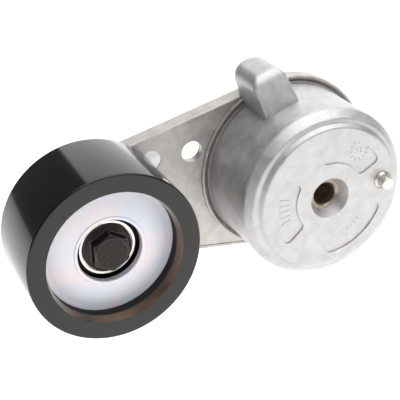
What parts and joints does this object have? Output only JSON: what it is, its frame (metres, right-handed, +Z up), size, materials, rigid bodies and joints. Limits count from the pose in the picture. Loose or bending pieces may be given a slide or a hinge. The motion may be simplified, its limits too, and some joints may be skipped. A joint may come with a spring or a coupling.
{
  "type": "belt tensioner idler",
  "caption": "Automatic belt tensioner: a round spring case with a mounting bore and locating pin, and a sprung cast arm carrying a smooth idler pulley.",
  "frame": {"origin": "centre of the mounting face, on the pivot axis and the mounting bolt's axis", "axes": "+Y from the mounting face into the part along the pivot axis, -X along the arm towards the pulley, +Z up"},
  "size_m": [0.1806, 0.0608, 0.0972],
  "materials": {
    "cast_aluminium": "die-cast, fine satin skin",
    "case_aluminium": "die-cast, shot-blasted, pale satin",
    "pin_steel": "bright turned",
    "shaft_steel": "bored and oiled, warm grey",
    "spring_steel": "dark oil-hardened wire",
    "seat_plastic": "moulded nylon",
    "bushing_plastic": "filled nylon bearing",
    "friction_plastic": "friction compound",
    "zinc_steel": "bright zinc plate",
    "plate_steel": "zinc-plated, satin",
    "black_steel": "gloss black coating",
    "bolt_black": "black phosphate",
    "bearing_steel": "ground",
    "seal_rubber": "moulded"
  },
  "bodies": {
    "case": {"spring_case": "case_aluminium", "locating_pin": "pin_steel", "pivot_shaft": "shaft_steel", "spring_seat": "seat_plastic", "torsion_spring": "spring_steel", "friction_disc": "friction_plastic", "cone_washer": "spring_steel", "end_plate": "plate_steel"},
    "arm": {"tensioner_arm": "cast_aluminium", "rim_seal": "seal_rubber", "pivot_bushing_front": "bushing_plastic", "pivot_bushing_rear": "bushing_plastic", "pulley_bolt": "bolt_black", "front_dust_cup": "zinc_steel", "spacer_sleeve": "plate_steel", "inner_race": "bearing_steel", "rear_dust_shield": "zinc_steel"},
    "pulley": {"pulley_shell": "black_steel", "front_dust_shield": "zinc_steel", "snap_ring": "spring_steel", "outer_race": "bearing_steel", "bearing_seal_front": "seal_rubber", "bearing_seal_rear": "seal_rubber"},
    "bearing_cage": {"bearing_balls": "bearing_steel", "ball_cage": "bushing_plastic"}
  },
  "joints": [
    {"name": "arm_swing", "type": "hinge", "parent": "case", "child": "arm", "pos_m": [0, 0.03, 0], "axis": [0, -1, 0], "range_deg": [0, 45], "stiffness_Nm_per_rad": 24, "springref_deg": -60.16, "deforming": ["torsion_spring"]},
    {"name": "pulley_spin", "type": "hinge", "parent": "arm", "child": "pulley", "pos_m": [-0.1, 0.0235, 0], "axis": [0, -1, 0], "continuous": true},
    {"name": "cage_spin", "type": "hinge", "parent": "arm", "child": "bearing_cage", "pos_m": [-0.1, 0.0235, 0], "axis": [0, -1, 0], "continuous": true}
  ],
  "couplings": [
    {"joint": "cage_spin", "follows": "pulley_spin", "ratio": 0.61837}
  ]
}
